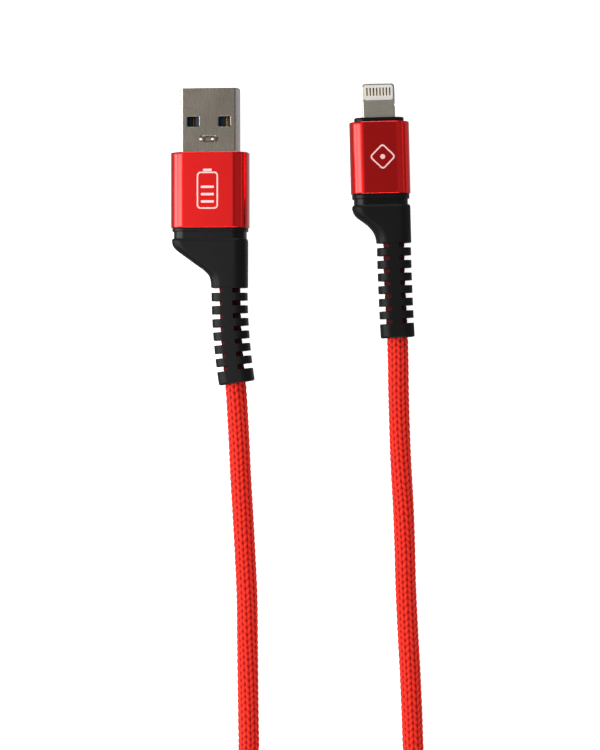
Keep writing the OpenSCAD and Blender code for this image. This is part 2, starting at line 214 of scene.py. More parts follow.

# %% [markdown]
# ## Where the cord lies
# The cord is 4.4 mm thick and about a metre long. It leaves each boot at the height of the
# plug's axis, sinks to the table in a few centimetres and runs along it. The rest is wound
# into a neat coil of turns that lie beside and on each other, a diameter apart, and a strap
# holds them. A cord is one smooth line before it is a tube, so the line comes first: two
# listed ends, in millimetres, and a loop for the turns between them.

# %% The two ends, from each plug to the coil
CORD_D = 4.4
type_a_end = [
    (-13, -1.4, 5.1), (-13, -8, 5.1), (-12.9, -15, 5.1), (-12.6, -22, 5.1),
    (-12.1, -28, 5.2), (-11.7, -32, 5.1), (-11.4, -37, 4.6), (-11.1, -43, 3.6),
    (-10.8, -50, 2.6), (-10.4, -57, 2.2), (-9.9, -66, 2.2), (-9.5, -75, 2.2),
    (-9.4, -84, 2.2), (-9.3, -93, 2.2), (-9.2, -101, 2.2), (-9.2, -107, 2.2),
    (-10.3, -114.6, 2.3), (-13.5, -121.7, 2.4), (-18.9, -127.3, 2.6),
]
phone_end = [
    (20.6, 5.5, 3.5), (20.8, -1.8, 3.5), (20.9, -8, 3.5), (21.2, -14, 3.5),
    (21.5, -20, 3.5), (21.7, -26, 3.3), (21.8, -32, 2.8), (22, -39, 2.3),
    (22.3, -47, 2.2), (22.8, -56, 2.2), (23.1, -64, 2.2), (23.3, -72, 2.2),
    (23.7, -81, 2.2), (24.2, -90, 2.2), (24.6, -99, 2.2), (24.9, -107, 2.2),
    (25.5, -114, 2.2), (27.3, -121, 2.2), (30.2, -127.5, 2.2), (33.1, -134, 2.2),
    (34.9, -141, 2.2), (35.5, -148, 2.4), (34.5, -154, 2.8), (32.4, -159.6, 3.4),
    (29.3, -164.6, 4.3), (25.3, -168.8, 5.2), (20.8, -172.1, 6.1),
]


# %% The coil between them
def ease(x, start, end):
    """0 before start, 1 after end, and a smooth step between."""
    t = np.clip((x - start) / (end - start), 0, 1)
    return t * t * (3 - 2 * t)


# Angles are in degrees and run on from turn to turn. Each turn steps in or out by a diameter,
# or up on to the layer below, over a short stretch, and the last layer humps where it crosses.
COIL_CENTRE = (0.5, -148.0)
COIL_RADIUS = 28.4
turn = np.linspace(139, 1744, 268)
radius = (COIL_RADIUS - CORD_D * (ease(turn, 400, 480) + ease(turn, 760, 840))
          + CORD_D / 2 * ease(turn, 1090, 1130) + CORD_D * ease(turn, 1320, 1400)
          + 2 * CORD_D * ease(turn, 1670, 1810))
around = turn % 360
over = (turn > 1080) & (around > 30) & (around < 130)
hump = 0.6 * np.where(over, np.sin(np.pi * (around - 30) / 100) ** 2, 0)
height = (2.8 + 3.8 * ease(turn, 1030, 1100) + hump
          + 0.6 * ease(turn, 1660, 1700) - 5.0 * ease(turn, 1725, 1805))
coil = np.column_stack((COIL_CENTRE[0] + radius * np.cos(np.radians(turn)),
                        COIL_CENTRE[1] + radius * np.sin(np.radians(turn)), height))
knots = np.vstack((type_a_end, coil, phone_end[::-1])) * MM
print("turns in the coil:", round((turn[-1] - turn[0]) / 360, 1))


# %% A smooth line through the points
def smooth_line(points, samples):
    """A Hermite curve through the points, with the same number of samples in each span."""
    gaps = np.linalg.norm(np.diff(points, axis=0), axis=1)
    slope = np.zeros_like(points)
    slope[1:-1] = (points[2:] - points[:-2]) / (gaps[1:] + gaps[:-1])[:, None]
    slope[0] = (points[1] - points[0]) / gaps[0]
    slope[-1] = (points[-1] - points[-2]) / gaps[-1]
    t = np.linspace(0, 1, samples, endpoint=False)[None, :, None]
    here, ahead = points[:-1, None], points[1:, None]
    reach = gaps[:, None, None]
    line = ((2 * t**3 - 3 * t**2 + 1) * here + (t**3 - 2 * t**2 + t) * reach * slope[:-1, None]
            + (3 * t**2 - 2 * t**3) * ahead + (t**3 - t**2) * reach * slope[1:, None])
    return np.vstack((line.reshape(-1, 3), points[-1:]))


line = smooth_line(knots, 40)
travel = np.concatenate(([0], np.cumsum(np.linalg.norm(np.diff(line, axis=0), axis=1))))
cord_length = float(travel[-1])
print("cord length in mm:", round(cord_length / MM))

# %% [markdown]
# ## The braid
# The cover is braided from 14 strands of nylon yarn. Seen from above it reads as columns of
# small slanted stitches that lean left and right in turn, with a dip between the columns. The
# stitches are real relief here: a tube is swept along the line and each of its points is
# pulled in by the height of the braid there, so the cord's outline is knobbly as well. Every
# point also keeps its place in the weave, as a mesh attribute, and the material reads that.

# %% Height of the weave
STRANDS = 14
STITCH = 1.35 * MM
SLANT = 0.6
RELIEF = 0.38 * MM


def braid_height(column, stitch):
    """Height of the braid from 0 to 1, at a place counted in columns round and stitches along.
    The seams between stitches are shallow in mid column and end in a dip on either side."""
    owner = np.floor(column)
    off = 2 * (column - owner) - 1
    lean = np.where(owner % 2 == 0, 0.5, -0.5)
    uneven = 0.10 * np.sin(0.9 * stitch) + 0.04 * np.sin(1.7 * stitch + 2.1 * owner)
    along = 2 * ((stitch + uneven + lean * SLANT * off) % 1) - 1
    seam = (0.3 + 0.7 * np.abs(off) ** 1.5) * np.abs(along) ** 1.8
    return (1 - 0.45 * off**4) * (1 - seam)


stitch_width = math.pi * CORD_D / STRANDS
print("a stitch is", round(STITCH / MM, 2), "mm long and", round(stitch_width, 2), "mm wide")

# %% Rings along the cord, close together where the weave is seen at its best
STEP_FINE = 0.18 * MM
STEP_COIL = 0.42 * MM
FINE_UNTIL = -112 * MM
step = np.where(line[:, 1] > FINE_UNTIL, STEP_FINE, STEP_COIL)
count = np.concatenate(([0], np.cumsum(np.diff(travel) / step[1:])))
place = np.interp(np.arange(int(count[-1]) + 1), count, travel)
centre = np.column_stack([np.interp(place, travel, line[:, axis]) for axis in range(3)])
tangent = np.gradient(centre, axis=0)
tangent /= np.linalg.norm(tangent, axis=1)[:, None]
normal = np.zeros_like(centre)
normal[0] = (0, 0, 1)
for i in range(len(centre)):
    before = normal[max(i - 1, 0)]
    level = before - tangent[i] * (before @ tangent[i])
    normal[i] = level / np.linalg.norm(level)
side = np.cross(tangent, normal)
print("rings along the cord:", len(centre))

# %% Braided tube
ROUND = 70
column = np.arange(ROUND) * STRANDS / ROUND
# A cord twists a little as it is laid down, so the columns wander round it by a few degrees.
drift = np.radians(9) * np.sin(place / (23 * MM)) + np.radians(5) * np.sin(place / (9.1 * MM))
angle = 2 * np.pi * np.arange(ROUND) / ROUND + drift[:, None]
relief = braid_height(column[None, :], place[:, None] / STITCH)
reach = CORD_D / 2 * MM - RELIEF * (1 - relief)
tube = (centre[:, None] + (reach * np.cos(angle))[..., None] * normal[:, None]
        + (reach * np.sin(angle))[..., None] * side[:, None])

rows = np.arange(len(centre) - 1)[:, None] * ROUND
k = np.arange(ROUND)[None, :]
after = (k + 1) % ROUND
quads = np.stack((rows + k, rows + ROUND + k, rows + ROUND + after, rows + after), -1)
last = (len(centre) - 1) * ROUND
caps = [list(range(ROUND)), list(range(last + ROUND - 1, last - 1, -1))]
cord_mesh = bpy.data.meshes.new("braided_cord")
cord_mesh.from_pydata(tube.reshape(-1, 3), [], quads.reshape(-1, 4).tolist() + caps)
cord_mesh.shade_smooth()

# %% Each corner's place in the weave, and each point's height
past_type_a_boot = ease(place, 28.4 * MM, 29.2 * MM)
into_phone_boot = ease(place, cord_length - 26.4 * MM, cord_length - 25.6 * MM)
painted_shade_in_boot = 1 - past_type_a_boot * (1 - into_phone_boot)
weave = np.zeros((len(cord_mesh.loops), 3), np.float32)
ring_index = np.arange(len(centre) - 1)[:, None] + np.array([0, 1, 1, 0])
column_edge = np.arange(ROUND)[:, None] + np.array([0, 0, 1, 1])
cells = (len(centre) - 1) * ROUND * 4
weave[:cells, 0] = np.tile(column_edge.ravel() * STRANDS / ROUND, len(centre) - 1)
weave[:cells, 1] = np.repeat(place[ring_index][:, None], ROUND, axis=1).ravel() / STITCH
# The third value marks the cord inside the boots, where the material paints shade on the yarn.
weave[:cells, 2] = np.repeat(painted_shade_in_boot[ring_index][:, None], ROUND, axis=1).ravel()
weave_data = cord_mesh.attributes.new("weave", "FLOAT_VECTOR", "CORNER").data
weave_data.foreach_set("vector", weave.ravel())
rise_data = cord_mesh.attributes.new("rise", "FLOAT", "POINT").data
rise_data.foreach_set("value", relief.ravel().astype(np.float32))
print("faces in the cord:", len(cord_mesh.polygons))

# %% [markdown]
# ## Nylon yarn, dyed red and braided
# Dyed nylon is slightly shiny. The shader reads the height of the weave for painted shade, so
# the red is bright on top of each stitch and deep in the dips, and the place in the weave for
# the fine filaments that run along each stitch, as bump. The real filaments are about 0.03 mm,
# so they are drawn five times coarser.

# %% Braided nylon material
braid, tree, shader = new_material("braided_nylon_yarn", Roughness=0.62, IOR=1.53,
                                   Specular_IOR_Level=0.1)
place_in_weave = add_node(tree, "ShaderNodeAttribute", attribute_name="weave")
parts = add_node(tree, "ShaderNodeSeparateXYZ", {"Vector": place_in_weave.outputs["Vector"]})
across = add_node(tree, "ShaderNodeMath", {0: parts.outputs["X"]}, operation="FRACT")
whole = add_node(tree, "ShaderNodeMath", {0: parts.outputs["X"]}, operation="FLOOR")
odd = add_node(tree, "ShaderNodeMath", {0: whole.outputs[0], 1: 2.0}, operation="MODULO")
lean = add_node(tree, "ShaderNodeMath", {0: odd.outputs[0], 1: -2.0, 2: 1.0},
                operation="MULTIPLY_ADD")
skew = add_node(tree, "ShaderNodeMath", {0: across.outputs[0], 1: lean.outputs[0]},
                operation="MULTIPLY")
run = add_node(tree, "ShaderNodeMath", {0: skew.outputs[0], 1: SLANT, 2: parts.outputs["Y"]},
               operation="MULTIPLY_ADD")
print("slant of a stitch across its column:", SLANT)

# %% Filaments and dye
strand_space = add_node(tree, "ShaderNodeCombineXYZ", {"X": across.outputs[0], "Y": run.outputs[0],
                                                       "Z": whole.outputs[0]})
filament_space = add_node(tree, "ShaderNodeMapping", {"Vector": strand_space.outputs[0],
                                                      "Scale": (1.2, 9.0, 3.7)})
filaments = add_node(tree, "ShaderNodeTexNoise", {"Vector": filament_space.outputs[0], "Scale": 1.0,
                                                  "Detail": 2.0})
height_here = add_node(tree, "ShaderNodeAttribute", attribute_name="rise")
# Painted shade: the yarn's red darkens from the tops of the stitches down into the dips between
# them.
painted_dip_shade = add_node(tree, "ShaderNodeValToRGB", {"Fac": height_here.outputs["Fac"]},
               tones=("#960202", "#ee3021"))
painted_dip_shade.color_ramp.elements[0].position = 0.32
painted_dip_shade.color_ramp.elements[1].position = 0.96
fade = add_node(tree, "ShaderNodeMix", {0: 0.14, 6: painted_dip_shade.outputs["Color"],
                                        7: filaments.outputs["Color"]},
                data_type="RGBA", blend_type="OVERLAY")
# Inside the boots the yarn is darkened to near black: painted shade where the boot's ribs and spine
# shadow the cord.
stain_and_painted_shade = add_node(tree, "ShaderNodeMix", {0: parts.outputs["Z"], 6: fade.outputs[2],
                                         7: linear("#4a0c0d")}, data_type="RGBA")
tree.links.new(stain_and_painted_shade.outputs[2], shader.inputs["Base Color"])
bump = add_node(tree, "ShaderNodeBump", {"Height": filaments.outputs["Fac"], "Distance": 0.03 * MM})
feed(shader, Normal=bump)
cord_mesh.materials.append(braid)
print("nodes in the braid:", len(tree.nodes))

# %% [markdown]
# ## The strap round the coil
# A short hook-and-loop strap keeps the turns together. It goes tightly round the strands that
# it crosses, so its outline is the convex hull of their sections, offset by a strand's radius.
# Rings of that outline, turned about the coil's centre, make the band.

# %% Outline of the strap
STRAP_AT = -90
STRAP_INSIDE, STRAP_OUTSIDE = 2.25, 2.78


def wrapped(reach, samples=96):
    """Closed outline round the strands at the strap: distances from the coil's centre, heights."""
    from_centre = line[:, :2] / MM - COIL_CENTRE
    out = np.hypot(from_centre[:, 0], from_centre[:, 1])
    bearing = np.degrees(np.arctan2(from_centre[:, 1], from_centre[:, 0]))
    under_strap = (np.abs(bearing - STRAP_AT) < 1.5) & (out < COIL_RADIUS + 5.6)
    spots = [(r + reach * math.cos(a), z + reach * math.sin(a))
             for r, z in zip(out[under_strap], line[under_strap, 2] / MM)
             for a in np.linspace(0, 2 * np.pi, 24)]
    hull = np.array([spots[i] for i in geometry.convex_hull_2d(spots)])
    hull = np.vstack((hull, hull[:1]))
    walked = np.concatenate(([0], np.cumsum(np.linalg.norm(np.diff(hull, axis=0), axis=1))))
    even = np.linspace(0, walked[-1], samples, endpoint=False)
    return np.column_stack([np.interp(even, walked, hull[:, axis]) for axis in range(2)])


def strap_ring(reach, degrees):
    """The outline as points in the row frame, at an angle round the coil."""
    a = math.radians(degrees)
    return [Vector((COIL_CENTRE[0] + r * math.cos(a), COIL_CENTRE[1] + r * math.sin(a), z)) * MM
            for r, z in wrapped(reach)]


print("the strap is", round(STRAP_OUTSIDE - STRAP_INSIDE, 2), "mm thick")


# %% [markdown]
# ## Solids from stacks of rings
# Moulded, folded and machined parts mostly change shape slowly along one direction, so they
# can be skinned over a stack of outlines that have the same number of points. A stack that
# closes on itself gives a sleeve or a band. A bevel on the sharper edges then stands for what
# a mould or a tumbling barrel leaves, and weighted normals keep the broad faces flat.

# %% Rings, pieces and edges
def add_rings(bm, rings, closed=False):
    """Skin a stack of rings that have the same number of points, with flat ends unless closed."""
    loops = [[bm.verts.new(point) for point in ring] for ring in rings]
    pairs = list(zip(loops, loops[1:]))
    if closed:
        pairs.append((loops[-1], loops[0]))
    for first, second in pairs:
        for i in range(len(first)):
            j = (i + 1) % len(first)
            bm.faces.new((first[i], first[j], second[j], second[i]))
    if not closed:
        bm.faces.new(loops[0][::-1])
        bm.faces.new(loops[-1])


def make_piece(name, bm, matrix, material):
    """A mesh object from bmesh, moved into the row frame."""
    bmesh.ops.recalc_face_normals(bm, faces=bm.faces[:])
    mesh = mesh_from(name, bm)
    mesh.transform(matrix)
    mesh.materials.append(material)
    return put_in_scene(name, mesh)


def round_edges(piece, width, angle):
    """Small moulded or tumbled edges, with flat faces that still shade flat."""
    bevel = piece.modifiers.new("edges", "BEVEL")
    bevel.width = width * MM
    bevel.segments = 2
    bevel.limit_method = "ANGLE"
    bevel.angle_limit = math.radians(angle)
    piece.data.shade_smooth()
    weighted = piece.modifiers.new("flat_faces", "WEIGHTED_NORMAL")
    weighted.keep_sharp = True
    return piece


def belongs(piece, slot, *nodes):
    """The piece rides on the model and stands for these CAD nodes."""
    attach(piece, "root")
    if nodes:
        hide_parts(*nodes)
    print(piece.name, "has", len(piece.data.polygons), "faces")


print("helpers for rings, pieces and edges are ready")

# %% The strap, woven nylon
# Nylon webbing with a napped face is dull black, with a soft sheen at its edges and ribs that
# are 0.5 mm apart.
strap_web, tree, shader = new_material("woven_nylon_strap", Roughness=0.85, IOR=1.53,
                                       Sheen_Weight=0.4)
where = add_node(tree, "ShaderNodeTexCoord")
ribs = add_node(tree, "ShaderNodeTexWave", {"Vector": where.outputs["Object"], "Scale": 600.0,
                                            "Distortion": 1.5, "Detail": 2.0}, bands_direction="X")
nap = add_node(tree, "ShaderNodeTexNoise", {"Vector": where.outputs["Object"], "Scale": 2500.0})
shade = add_node(tree, "ShaderNodeValToRGB", {"Fac": nap.outputs["Fac"]},
                 tones=("#0d0d0e", "#26262a"))
bump = add_node(tree, "ShaderNodeBump", {"Height": ribs.outputs["Fac"], "Distance": 0.12 * MM})
feed(shader, Base_Color=shade, Normal=bump)

bm = bmesh.new()
outer = [strap_ring(STRAP_OUTSIDE, d) for d in np.linspace(261, 279, 13)]
inner = [strap_ring(STRAP_INSIDE, d) for d in np.linspace(279, 261, 13)]
add_rings(bm, outer + inner, closed=True)
strap = round_edges(make_piece("coil_strap", bm, Matrix.Identity(4), strap_web), 0.12, 50)
belongs(strap, "tie_black", "coil_tie")

cord = put_in_scene("braided_cord", cord_mesh)
belongs(cord, "braid_red", "cord_type_a_side", "cord_phone_side", "cord_coil")


# %% [markdown]
# ## Building in a plug's own frame
# Both plugs lie at a slight angle, one rolled and one turned. Each is easiest to draw straight,
# in millimetres, with its length along y from the rear face of its sleeve, so a matrix then
# carries the finished mesh to its place. The place comes from the sleeve's box in the frame.

# %% Frames of the two plugs
def plug_frame(low, high, length, roll, turn):
    """Matrix from a plug's own millimetres to the row frame, for a sleeve with this box."""
    tilt = (Matrix.Rotation(math.radians(turn), 4, "Z")
            @ Matrix.Rotation(math.radians(-roll), 4, "Y"))
    middle = (low + high) / 2
    rear = middle - tilt @ Vector((0, length / 2 * MM, 0))
    return Matrix.Translation(rear) @ tilt @ Matrix.Scale(MM, 4)


TYPE_A_W, TYPE_A_L, TYPE_A_T = 16.0, 15.5, 8.0
PHONE_W, PHONE_L, PHONE_T = 12.3, 14.8, 7.0
SLEEVE_R = 3.0
on_type_a = plug_frame(type_a_low, type_a_high, TYPE_A_L, roll=7, turn=0)
on_phone = plug_frame(phone_low, phone_high, PHONE_L, roll=0, turn=1.4)
print("type-A plug at", [round(v / MM, 2) for v in on_type_a.translation])
print("phone plug at", [round(v / MM, 2) for v in on_phone.translation])


# %% A rounded rectangle, across the plug or flat in plan
def rounded(w, t, r, steps=8):
    """Outline of a rectangle w by t with corners of radius r."""
    points = []
    for corner, (sx, sy) in enumerate(((1, 1), (-1, 1), (-1, -1), (1, -1))):
        for i in range(steps + 1):
            a = math.pi / 2 * (corner + i / steps)
            points.append((sx * (w / 2 - r) + r * math.cos(a), sy * (t / 2 - r) + r * math.sin(a)))
    return points


def section(w, t, r, y, x=0.0):
    """The outline stood up across the plug, at y along it."""
    return [Vector((px + x, y, pz)) for px, pz in rounded(w, t, r)]


def plan(outline, z):
    """An outline laid flat at height z."""
    return [Vector((px, py, z)) for px, py in outline]


print("points in an outline:", len(rounded(TYPE_A_W, TYPE_A_T, SLEEVE_R)))


# %% [markdown]
# ## The anodised sleeves
# Each plug's body is a sleeve of aluminium, extruded, machined, blasted fine and anodised red.
# The dye sits in a clear oxide layer over bright metal, so the sleeve has a coloured mirror
# blurred by the blasting, and a thin clear gloss on top. It is made as one profile taken round
# the sleeve: out over the front edge, along the side, round the rear edge and back up the bore.

# %% Anodised aluminium, dyed red
anodised, tree, shader = new_material("anodised_aluminium_red", Metallic=1.0, Roughness=0.22,
                                      Coat_Weight=0.3, Coat_Roughness=0.2, Coat_IOR=1.6)
where = add_node(tree, "ShaderNodeTexCoord")
# The blasting is about 0.05 mm across, and is drawn at 0.15 mm so that it shows.
blasting = add_node(tree, "ShaderNodeTexNoise", {"Vector": where.outputs["Object"], "Scale": 6500.0,
                                                 "Detail": 2.0})
cloud = add_node(tree, "ShaderNodeTexNoise", {"Vector": where.outputs["Object"], "Scale": 120.0,
                                              "Detail": 2.0})
dyed = add_node(tree, "ShaderNodeValToRGB", {"Fac": cloud.outputs["Fac"]},
                tones=("#f41817", "#fe1c1a"))
gloss = add_node(tree, "ShaderNodeMapRange", {"Value": blasting.outputs["Fac"], "To Min": 0.19,
                                              "To Max": 0.26})
bump = add_node(tree, "ShaderNodeBump", {"Height": blasting.outputs["Fac"],
                                         "Distance": 0.0005 * MM})
feed(shader, Base_Color=dyed, Roughness=gloss, Normal=bump)
print("anodised finish ready")


# %% Sleeve profile
def sleeve(w, l, t, opening, wall=1.0, front=0.8, r=SLEEVE_R, lip=0.16):
    """Rings of a sleeve: front opening, front face, side, rear edge and bore."""
    side = [(lip, 0), (lip * 0.55, lip * 0.12), (lip * 0.2, lip * 0.45), (0, lip)]
    rings = [section(*opening, l)]
    rings += [section(w - 2 * i, t - 2 * i, r - i, l - b) for i, b in side]
    rings += [section(w, t, r, l - 0.6), section(w, t, r, 0.6)]
    rings += [section(w - 2 * i, t - 2 * i, r - i, b) for i, b in side[::-1]]
    rings += [section(w - 2 * wall, t - 2 * wall, r - wall, y) for y in (0, l - front)]
    return rings + [section(*opening, l - front)]


def smooth_piece(piece):
    """Smooth shading that stays crisp at the sharper edges."""
    piece.data.shade_smooth()
    piece.data.set_sharp_from_angle(angle=math.radians(38))
    weighted = piece.modifiers.new("flat_faces", "WEIGHTED_NORMAL")
    weighted.keep_sharp = True
    return piece


bm = bmesh.new()
add_rings(bm, sleeve(TYPE_A_W, TYPE_A_L, TYPE_A_T, (12.1, 4.6, 0.7)), closed=True)
type_a_sleeve = smooth_piece(make_piece("type_a_sleeve", bm, on_type_a, anodised))
belongs(type_a_sleeve, "housing_red", "type_a_housing")
bm = bmesh.new()
add_rings(bm, sleeve(PHONE_W, PHONE_L, PHONE_T, (8.4, 3.9, 1.2)), closed=True)
phone_sleeve = smooth_piece(make_piece("phone_sleeve", bm, on_phone, anodised))
belongs(phone_sleeve, "housing_red", "phone_housing")

# %% [markdown]
# ## Etched marks
# A laser takes the dyed layer off in thin lines and leaves pale, matt metal. The marks here
# are plain pictograms: a battery with three bars on the type-A plug, and a diamond with a dot
# on the phone plug. Each line is a very thin plate, let into the face.

# %% Laser-etched aluminium
etched, tree, shader = new_material("laser_etched_aluminium", Metallic=0.35, Roughness=0.6)
where = add_node(tree, "ShaderNodeTexCoord")
hatch = add_node(tree, "ShaderNodeTexNoise", {"Vector": where.outputs["Object"], "Scale": 5000.0})
pale = add_node(tree, "ShaderNodeValToRGB", {"Fac": hatch.outputs["Fac"]},
                tones=("#e8a6a4", "#fbdedb"))
bump = add_node(tree, "ShaderNodeBump", {"Height": hatch.outputs["Fac"], "Distance": 0.004 * MM})
feed(shader, Base_Color=pale, Normal=bump)


def plate(bm, face, outline, hole=None):
    """A thin plate let into a face: an outline, or the band between an outline and a hole."""
    low, high = face - 0.04, face + 0.012
    if hole is None:
        add_rings(bm, [plan(outline, low), plan(outline, high)])
    else:
        add_rings(bm, [plan(outline, low), plan(outline, high), plan(hole, high), plan(hole, low)],
                  closed=True)


def shifted(outline, x, y, degrees=0):
    """An outline turned and moved in plan."""
    c, s = math.cos(math.radians(degrees)), math.sin(math.radians(degrees))
    return [(x + px * c - py * s, y + px * s + py * c) for px, py in outline]


# %% Battery and diamond
face = TYPE_A_T / 2
bm = bmesh.new()
plate(bm, face, shifted(rounded(4.4, 7.6, 0.8), 0, 7.6), shifted(rounded(3.8, 7.0, 0.5), 0, 7.6))
plate(bm, face, shifted(rounded(1.8, 0.5, 0.15), 0, 11.75))
for bar in range(3):
    plate(bm, face, shifted(rounded(2.7, 0.5, 0.2), 0, 5.3 + 1.5 * bar))
belongs(make_piece("type_a_mark", bm, on_type_a, etched), "housing_red")

face = PHONE_T / 2
bm = bmesh.new()
plate(bm, face, shifted(rounded(3.9, 3.9, 0.7), 0.5, 7.5, 45),
      shifted(rounded(3.3, 3.3, 0.45), 0.5, 7.5, 45))
plate(bm, face, shifted(rounded(1.0, 1.0, 0.49), 0.5, 7.5))
belongs(make_piece("phone_mark", bm, on_phone, etched), "housing_red")

# %% [markdown]
# ## The type-A plug's steel front
# This is sheet steel 0.3 mm thick, stamped, folded into a rectangular tube that meets along
# the underside, and nickel plated. The plating is a warm grey mirror, blurred by the marks of
# drawing. Two windows in each broad face take the socket's springs, and a lozenge is pressed
# between them and the sleeve. Cutting the windows from a finished tube with booleans keeps
# their corners round. The cutters flare at both faces, which gives each window its rolled rim,
# and a fine bevel takes the sharpness off the remaining edges.

# %% Nickel-plated steel
nickel_steel, tree, shader = new_material("nickel_plated_steel", Metallic=1.0, Roughness=0.26)
where = add_node(tree, "ShaderNodeTexCoord")
stretch = add_node(tree, "ShaderNodeMapping", {"Vector": where.outputs["Object"],
                                               "Scale": (1.0, 0.05, 1.0)})
# Drawing marks run along the sheet; they are about 0.02 mm wide and are drawn at 0.2 mm.
lines = add_node(tree, "ShaderNodeTexNoise", {"Vector": stretch.outputs[0], "Scale": 5000.0,
                                              "Detail": 3.0})
stain_and_painted_shade = add_node(tree, "ShaderNodeTexNoise", {"Vector": where.outputs["Object"], "Scale": 160.0,
                                              "Detail": 3.0})
plated = add_node(tree, "ShaderNodeValToRGB", {"Fac": stain_and_painted_shade.outputs["Fac"]},
                  tones=("#736c62", "#938b80"))
polish = add_node(tree, "ShaderNodeMapRange", {"Value": lines.outputs["Fac"], "To Min": 0.20,
                                               "To Max": 0.34})
bump = add_node(tree, "ShaderNodeBump", {"Height": lines.outputs["Fac"], "Distance": 0.002 * MM})
feed(shader, Base_Color=plated, Roughness=polish, Normal=bump)
print("plated steel ready")


# %% Cut shapes out of a piece
def carve(piece, cutter_meshes):
    """Subtract closed meshes from a piece and keep the result as its mesh."""
    cutters = []
    for bm in cutter_meshes:
        bmesh.ops.recalc_face_normals(bm, faces=bm.faces[:])
        cutter = put_in_scene("cutter", mesh_from("cutter", bm))
        cut = piece.modifiers.new("cut", "BOOLEAN")
        cut.operation = "DIFFERENCE"
        cut.solver = "EXACT"
        cut.object = cutter
        cutters.append(cutter)
    bpy.context.view_layer.update()
    evaluated = piece.evaluated_get(bpy.context.evaluated_depsgraph_get())
    carved = bpy.data.meshes.new_from_object(evaluated)
    piece.modifiers.clear()
    piece.data = carved
    for cutter in cutters:
        bpy.data.objects.remove(cutter)


print("cutter ready for windows, slots and notches")

# %% Folded tube with windows
STEEL_W, STEEL_T, STEEL_WALL, STEEL_REAR = 12.0, 4.5, 0.3, 9.0
STEEL_TIP = TYPE_A_L + 13.2
STEEL_TOP = STEEL_T / 2
WINDOW_X, WINDOW_BACK = 3.25, 6.9
bm = bmesh.new()
add_rings(bm, [
    section(STEEL_W, STEEL_T, 0.7, STEEL_REAR), section(STEEL_W, STEEL_T, 0.7, STEEL_TIP),
    section(STEEL_W - 2 * STEEL_WALL, STEEL_T - 2 * STEEL_WALL, 0.4, STEEL_TIP),
    section(STEEL_W - 2 * STEEL_WALL, STEEL_T - 2 * STEEL_WALL, 0.4, STEEL_REAR),
], closed=True)
steel_front = make_piece("type_a_steel_front", bm, Matrix.Identity(4), nickel_steel)
windows = bmesh.new()
for x in (-WINDOW_X, WINDOW_X):
    outline = shifted(rounded(2.4, 2.1, 0.3), x, STEEL_TIP - WINDOW_BACK)
    flare = shifted(rounded(2.8, 2.5, 0.5), x, STEEL_TIP - WINDOW_BACK)
    add_rings(windows, [plan(flare, -STEEL_TOP - 0.01), plan(outline, -STEEL_TOP + 0.15),
                        plan(outline, STEEL_TOP - 0.15), plan(flare, STEEL_TOP + 0.01)])
seam_slit = shifted(rounded(0.09, 24, 0.01, 2), 0, 20)
seam = bmesh.new()
add_rings(seam, [plan(seam_slit, -3), plan(seam_slit, -STEEL_TOP + 0.14)])
carve(steel_front, [windows, seam])
print("faces after the cuts:", len(steel_front.data.polygons))

# %% Pressed lozenge, and painted reflection on the folds
def toned(material, name, dark, light):
    """A copy of a finish whose colours run between two other tones."""
    copy = material.copy()
    copy.name = name
    for end, tone in enumerate((dark, light)):
        copy.node_tree.nodes["Color Ramp"].color_ramp.elements[end].color = linear(tone)
    return copy


# The pressing is a flat pillow with a small dome near either end.
LOZENGE_Y, DOME_X, DOME_R, DOME_H = 18.28, 1.22, 0.74, 0.27
bm = bmesh.new()
bm.from_mesh(steel_front.data)
pillow = [(0.0, -0.1), (0.0, 0.0), (0.2, 0.05), (0.4, 0.1), (0.6, 0.13), (0.74, 0.132)]
add_rings(bm, [plan(shifted(rounded(3.9 - 2 * i, 1.5 - 2 * i, 0.745 - i), 0, LOZENGE_Y),
                    STEEL_TOP + z) for i, z in pillow])
dome = [(DOME_R * math.sin(a), DOME_H * math.cos(a)) for a in np.linspace(1.5, 0.08, 8)]
for x in (-DOME_X, DOME_X):
    add_rings(bm, [plan(shifted(rounded(2 * r, 2 * r, r * 0.98, 5), x, LOZENGE_Y), STEEL_TOP + z)
                   for r, z in dome])
bm.to_mesh(steel_front.data)
bm.free()
# The folded sides get a lighter copy of the plating than the broad faces: a painted reflection of
# the pale table, which the sides face.
nickel_painted_reflection = toned(nickel_steel, "nickel_plated_steel_painted_reflection", "#d2ccc8", "#e2ddda")
steel_front.data.materials.append(nickel_painted_reflection)
for facet in steel_front.data.polygons:
    outside = abs(facet.center.x) > STEEL_W / 2 - 0.7
    facet.material_index = 1 if outside and abs(facet.normal.x) > 0.45 else 0
steel_front.data.transform(on_type_a)
round_edges(steel_front, 0.13, 40)
belongs(steel_front, "shell_steel", "type_a_shell")


# %% [markdown]
# ## Springs in the type-A plug
# Four strips of bronze, plated with gold, lie in grooves along the blue tongue. The plating is
# thin and rubbed, so it is a deep, uneven yellow. Through the windows only a thin bright line
# shows on each strip, because its back is slightly arched, so the arch is in the mesh.

# %% Gold-plated bronze
gold, tree, shader = new_material("gold_plated_bronze", Metallic=1.0, Roughness=0.24)
where = add_node(tree, "ShaderNodeTexCoord")
wipe = add_node(tree, "ShaderNodeTexNoise", {"Vector": where.outputs["Object"], "Scale": 2600.0,
                                             "Detail": 2.0})
plating = add_node(tree, "ShaderNodeValToRGB", {"Fac": wipe.outputs["Fac"]},
                   tones=("#5f4c28", "#826a3c"))
bump = add_node(tree, "ShaderNodeBump", {"Height": wipe.outputs["Fac"], "Distance": 0.003 * MM})
feed(shader, Base_Color=plating, Normal=bump)

